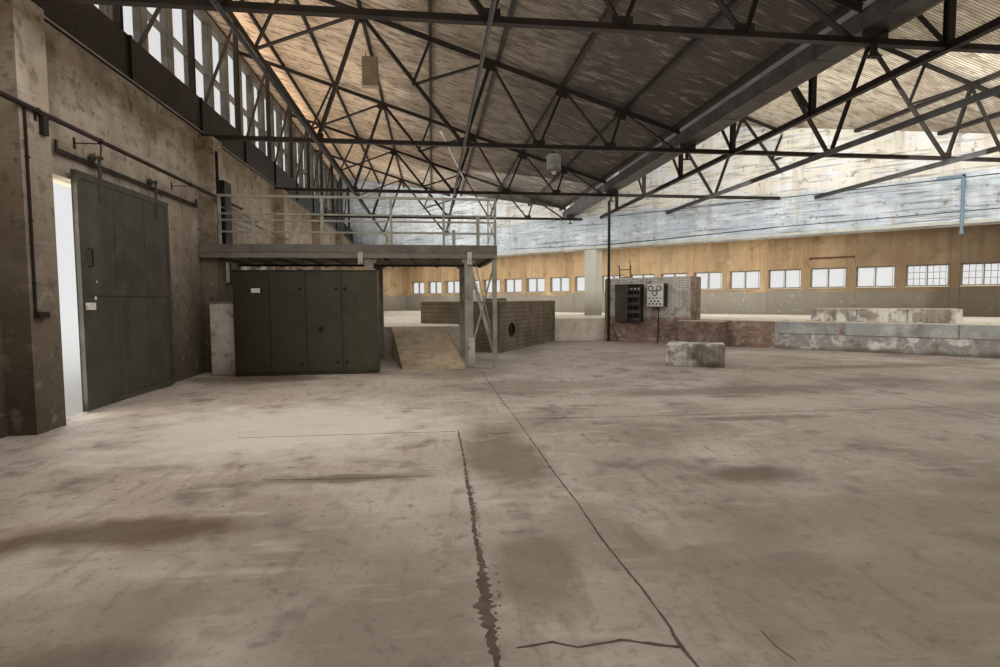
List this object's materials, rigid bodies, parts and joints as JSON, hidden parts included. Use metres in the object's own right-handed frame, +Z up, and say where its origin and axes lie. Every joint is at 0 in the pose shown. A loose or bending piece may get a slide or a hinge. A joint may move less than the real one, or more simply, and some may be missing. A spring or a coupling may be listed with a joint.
{
  "type": "factory building",
  "caption": "Saw-tooth north-light factory hall with lattice trusses, a slanted end wall on a deep beam, a raised floor, a mezzanine, a sliding door and an annex.",
  "frame": {"origin": "middle of the building's plan, on the level of the underside of its walls and floor slab", "axes": "+X across the roof bays, away from the wall with the sliding door; +Y along the gutters, towards the slanted end wall; +Z up"},
  "size_m": [28.7709, 39.6509, 9.5361],
  "materials": {
    "concrete_floor": "worn concrete",
    "concrete": "rough concrete",
    "plaster": "stained plaster over brick",
    "outer_wall": "weathered render",
    "end_wall_paint": "whitewashed brick",
    "brick": "red brick with old whitewash",
    "annex_plaster": "streaked distemper",
    "dark_steel": "dull dark paint",
    "grey_steel": "weathered grey paint",
    "black_steel": "sooty dark paint",
    "roof_sheet": "weathered corrugated sheet",
    "galvanised": "dull galvanised",
    "door_steel": "dull dark paint",
    "cabinet_paint": "satin grey-green paint",
    "pale_paint": "worn pale paint",
    "glass": "dusty glass"
  },
  "bodies": {
    "building": {"floor_slab": "concrete_floor", "raised_floor": "concrete_floor", "ramp": "concrete_floor", "front_wall": "outer_wall", "left_wall_front": "plaster", "left_wall_rear": "plaster", "left_wall_over_door": "plaster", "right_wall": "outer_wall", "wall_pilasters": "plaster", "end_wall": "end_wall_paint", "end_wall_column": "end_wall_paint", "beam_ledge": "concrete", "annex_back_wall": "annex_plaster", "annex_end_walls": "annex_plaster", "annex_roof": "concrete", "eaves_slab": "concrete", "window_frames": "grey_steel", "window_glass": "glass", "roof_sheet_left": "roof_sheet", "roof_sheet_right": "roof_sheet", "purlins": "dark_steel", "truss_1": "dark_steel", "truss_2": "dark_steel", "truss_3": "dark_steel", "truss_4": "dark_steel", "truss_5": "dark_steel", "truss_6": "dark_steel", "chord_rails": "grey_steel", "left_girder": "dark_steel", "valley_girder": "dark_steel", "upstand_band": "black_steel", "glazing_frames": "grey_steel", "glazing_glass": "glass", "gutter_floors": "galvanised", "gutter_sides": "galvanised", "door_track": "dark_steel", "mezzanine_deck": "concrete", "mezzanine_posts": "pale_paint", "mezzanine_railing": "pale_paint", "cabinet_body": "cabinet_paint", "door_pivots": "dark_steel", "switch_block": "brick", "dwarf_wall": "brick", "switch_box": "dark_steel", "meter_box": "pale_paint", "tank": "concrete", "tank_cover": "concrete", "concrete_bases": "concrete", "service_pipes": "dark_steel", "hanging_lamp": "galvanised"},
    "door": {"sliding_door": "door_steel"},
    "switch_leaf_left": {"switch_box_door_left": "dark_steel"},
    "switch_leaf_right": {"switch_box_door_right": "dark_steel"},
    "cabinet_leaf_1": {"cabinet_door_1": "cabinet_paint"},
    "cabinet_leaf_2": {"cabinet_door_2": "cabinet_paint"},
    "cabinet_leaf_3": {"cabinet_door_3": "cabinet_paint"},
    "cabinet_leaf_4": {"cabinet_door_4": "cabinet_paint"}
  },
  "joints": [
    {"name": "door_slide", "type": "slide", "parent": "building", "child": "door", "axis": [0, 1, 0], "range_m": [-0.4, 1.5]},
    {"name": "cabinet_door_1_hinge", "type": "hinge", "parent": "building", "child": "cabinet_leaf_1", "pos_m": [-12.3174, -7.0354, 1.25], "axis": [0, 0, -1], "range_deg": [0, 100]},
    {"name": "cabinet_door_2_hinge", "type": "hinge", "parent": "building", "child": "cabinet_leaf_2", "pos_m": [-11.6204, -7.0354, 1.25], "axis": [0, 0, -1], "range_deg": [0, 100]},
    {"name": "cabinet_door_3_hinge", "type": "hinge", "parent": "building", "child": "cabinet_leaf_3", "pos_m": [-10.9234, -7.0354, 1.25], "axis": [0, 0, -1], "range_deg": [0, 100]},
    {"name": "cabinet_door_4_hinge", "type": "hinge", "parent": "building", "child": "cabinet_leaf_4", "pos_m": [-9.5654, -7.0354, 1.25], "axis": [0, 0, 1], "range_deg": [0, 100]},
    {"name": "switch_leaf_left_hinge", "type": "hinge", "parent": "building", "child": "switch_leaf_left", "pos_m": [-2.1263, 0.0173, 1.55], "axis": [0, 0, -1], "range_deg": [0, 110]},
    {"name": "switch_leaf_right_hinge", "type": "hinge", "parent": "building", "child": "switch_leaf_right", "pos_m": [-1.4708, -0.6382, 1.55], "axis": [0, 0, 1], "range_deg": [-110, 0]}
  ]
}
